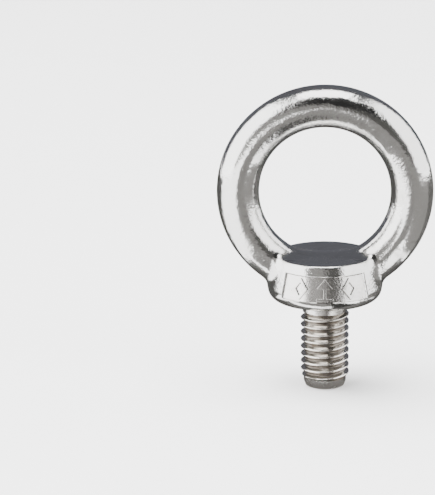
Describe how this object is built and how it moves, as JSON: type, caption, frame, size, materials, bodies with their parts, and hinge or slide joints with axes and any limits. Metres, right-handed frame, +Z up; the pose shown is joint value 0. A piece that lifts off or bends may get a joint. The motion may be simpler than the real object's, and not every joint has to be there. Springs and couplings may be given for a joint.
{
  "type": "eye bolt",
  "caption": "Lifting eye bolt: a round-section eye on a tapered shoulder collar with a marking panel, and a short right-hand threaded shank with a plain neck and point.",
  "frame": {"origin": "centre of the collar's flat bearing face, on the bolt's axis", "axes": "-Z along the shank towards its point, +Z up through the eye; the eye lies in the XZ plane and its hole runs along Y; the marking panel faces -Y"},
  "size_m": [0.0352, 0.0188, 0.0505],
  "materials": {
    "polished_steel": "polished, with a faint orange-peel ripple and fine wear",
    "cast_panel_steel": "as cast, fine matte grain",
    "rolled_thread_steel": "rolled thread, satin flanks and bright crests",
    "turned_steel": "turned, fine concentric lines"
  },
  "bodies": {
    "root": {"eye_ring": "polished_steel", "collar": "polished_steel", "marking_panel": "cast_panel_steel", "panel_marks": "cast_panel_steel", "shank_neck": "turned_steel", "threaded_shank": "rolled_thread_steel", "shank_point": "turned_steel"}
  },
  "joints": []
}
